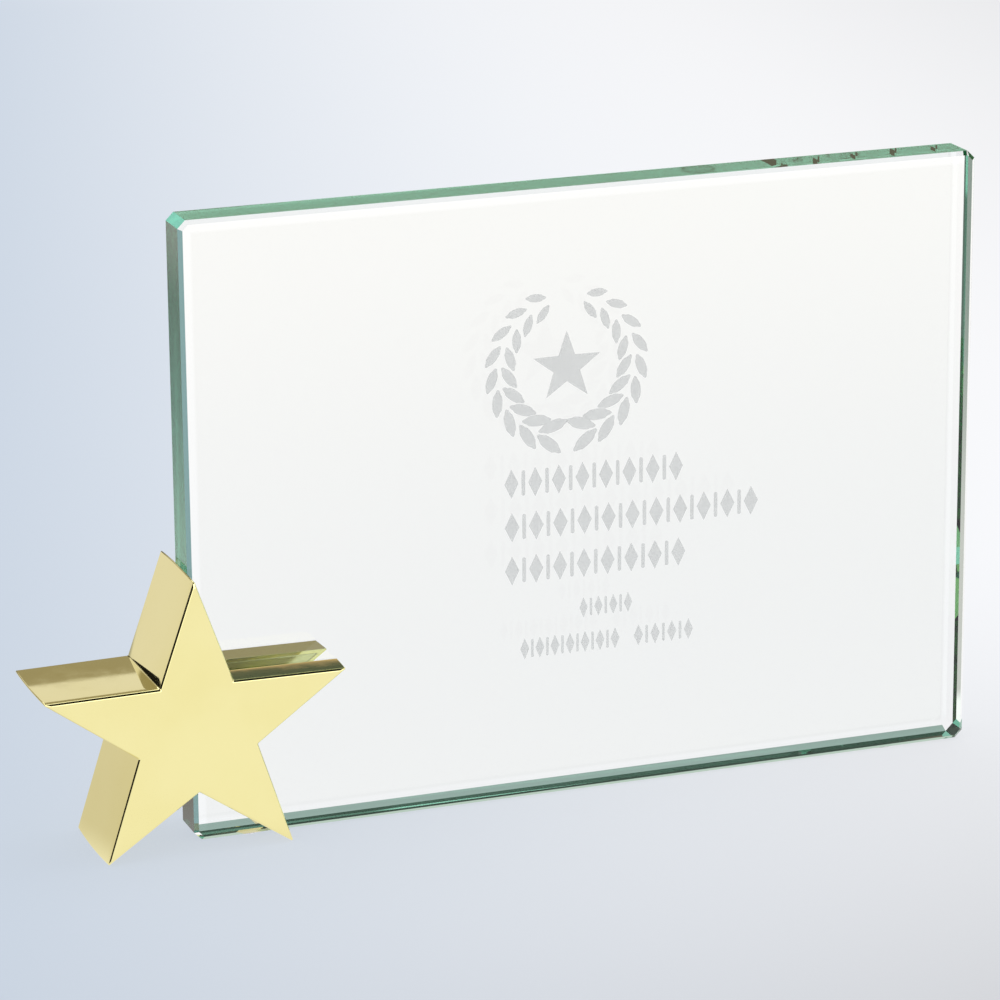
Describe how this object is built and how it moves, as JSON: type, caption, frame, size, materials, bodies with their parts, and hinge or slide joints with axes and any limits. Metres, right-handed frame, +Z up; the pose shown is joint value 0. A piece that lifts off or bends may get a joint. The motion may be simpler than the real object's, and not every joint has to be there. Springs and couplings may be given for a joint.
{
  "type": "star trophy",
  "caption": "Upright rectangular jade glass plate held at its lower left corner in the slot of a thick polished gold five-pointed star.",
  "frame": {"origin": "On the table, under the middle of the whole trophy's width and depth.", "axes": "+X to the viewer's right along the glass plate, +Y to the back, +Z up. The engraved front faces -Y."},
  "size_m": [0.203, 0.0234, 0.1283],
  "materials": {
    "polished_gold": "mirror-polished gold plate",
    "jade_glass": "polished faces and edges, frosted engraving on the front",
    "clear_pad": "clear adhesive pad",
    "clear_bumper": "clear soft bumper"
  },
  "bodies": {
    "root": {"star_holder": "polished_gold", "glass_plate": "jade_glass", "front_slot_pad": "clear_pad", "rear_slot_pad": "clear_pad", "end_slot_pad": "clear_pad", "left_bumper_foot": "clear_bumper", "right_bumper_foot": "clear_bumper"}
  },
  "joints": []
}
